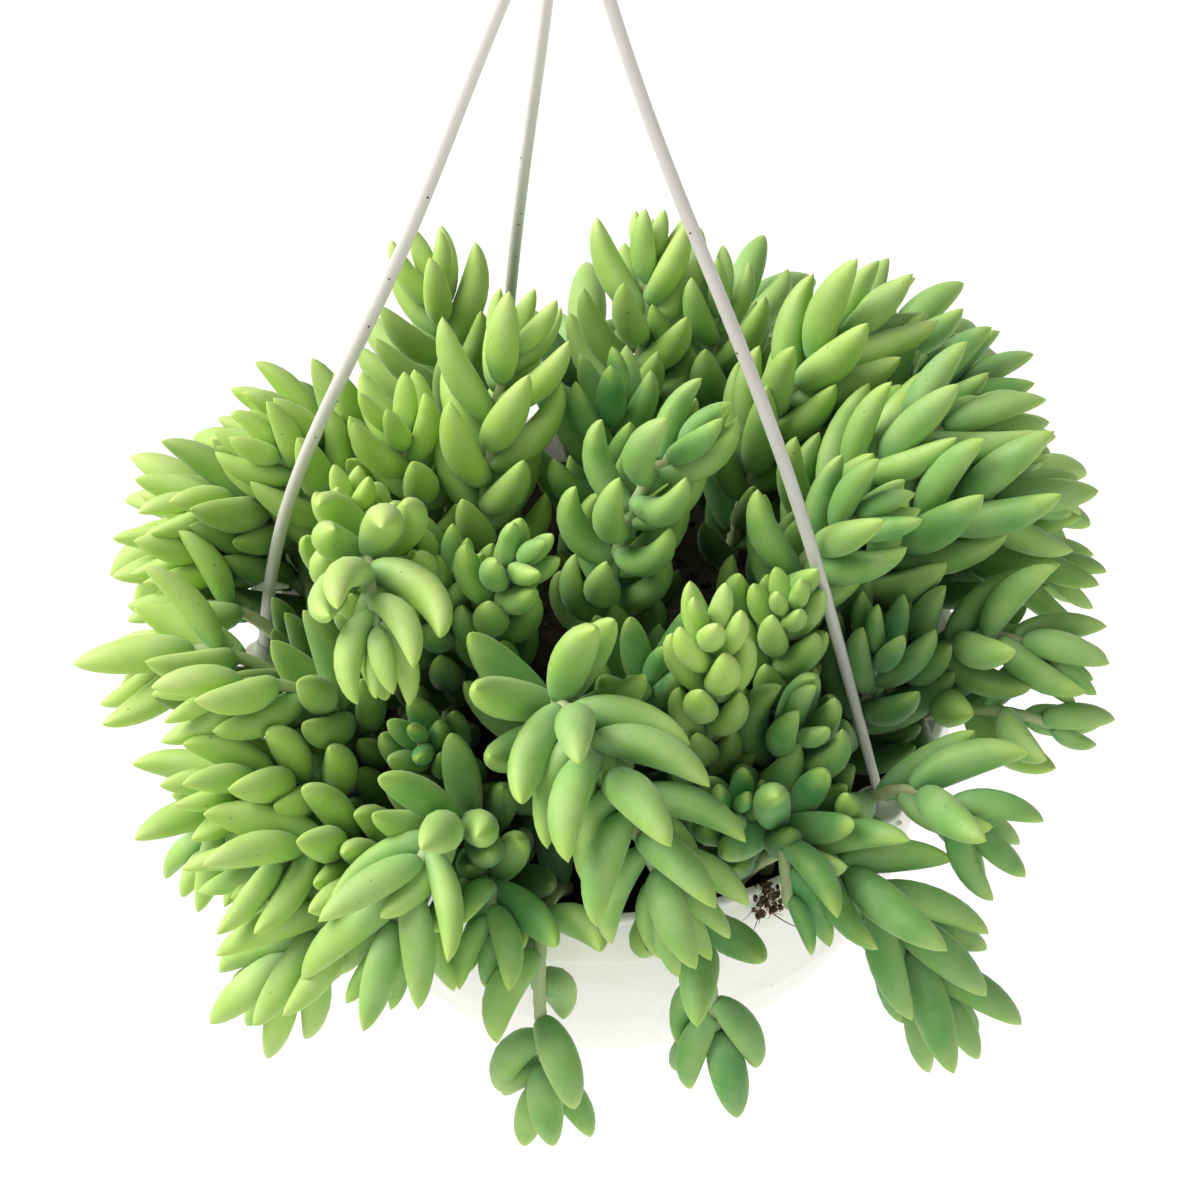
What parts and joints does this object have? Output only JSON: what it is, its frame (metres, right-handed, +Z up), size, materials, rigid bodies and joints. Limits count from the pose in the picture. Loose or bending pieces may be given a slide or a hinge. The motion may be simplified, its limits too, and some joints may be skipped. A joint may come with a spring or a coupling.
{
  "type": "potted burro's tail plant in a hanging pot",
  "caption": "White hanging bowl pot with a clip-on arm hanger and hook, filled with a trailing stonecrop of plump pointed green leaves.",
  "frame": {"origin": "the point under the top of the hook's bend, where the load rests", "axes": "+Z up through the hook and the middle of the pot; +X and +Y level, with the back arm's ear on the +Y side"},
  "size_m": [0.2311, 0.2267, 0.3949],
  "materials": {
    "pot_plastic": "smooth moulded white plastic, slightly translucent",
    "hanger_plastic": "satin off-white moulded plastic",
    "soil": "matte, crumbly dark potting mix of bark and peat",
    "leaves": "plump waxy leaves with a pale bloom and yellow-green tips"
  },
  "bodies": {
    "root": {"pot": "pot_plastic", "soil": "soil", "hanger_arm_left": "hanger_plastic", "hanger_arm_right": "hanger_plastic", "hanger_arm_back": "hanger_plastic", "hanger_hook": "hanger_plastic", "shoot_back_1": "leaves", "shoot_back_2": "leaves", "shoot_back_3": "leaves", "shoot_back_4": "leaves", "shoot_back_5": "leaves", "shoot_back_6": "leaves", "shoot_back_7": "leaves", "shoot_back_8": "leaves", "shoot_middle_1": "leaves", "shoot_middle_2": "leaves", "shoot_middle_3": "leaves", "shoot_middle_4": "leaves", "shoot_middle_5": "leaves", "shoot_middle_6": "leaves", "shoot_right_1": "leaves", "shoot_right_2": "leaves", "shoot_right_3": "leaves", "shoot_right_4": "leaves", "shoot_right_5": "leaves", "shoot_right_6": "leaves", "shoot_right_7": "leaves", "shoot_right_8": "leaves", "shoot_right_9": "leaves", "shoot_right_10": "leaves", "shoot_front_1": "leaves", "shoot_front_2": "leaves", "shoot_front_3": "leaves", "shoot_front_4": "leaves", "shoot_front_5": "leaves", "shoot_front_6": "leaves", "shoot_front_7": "leaves", "shoot_front_8": "leaves", "shoot_front_9": "leaves", "shoot_front_10": "leaves", "shoot_front_11": "leaves", "shoot_front_12": "leaves", "shoot_front_13": "leaves", "shoot_left_1": "leaves", "shoot_left_2": "leaves", "shoot_left_3": "leaves", "shoot_left_4": "leaves", "shoot_left_5": "leaves", "shoot_left_6": "leaves", "shoot_left_7": "leaves", "shoot_left_8": "leaves", "shoot_left_9": "leaves", "shoot_left_10": "leaves", "shoot_left_11": "leaves", "shoot_left_12": "leaves", "shoot_left_13": "leaves", "shoot_left_14": "leaves", "shoot_left_15": "leaves"}
  },
  "joints": []
}
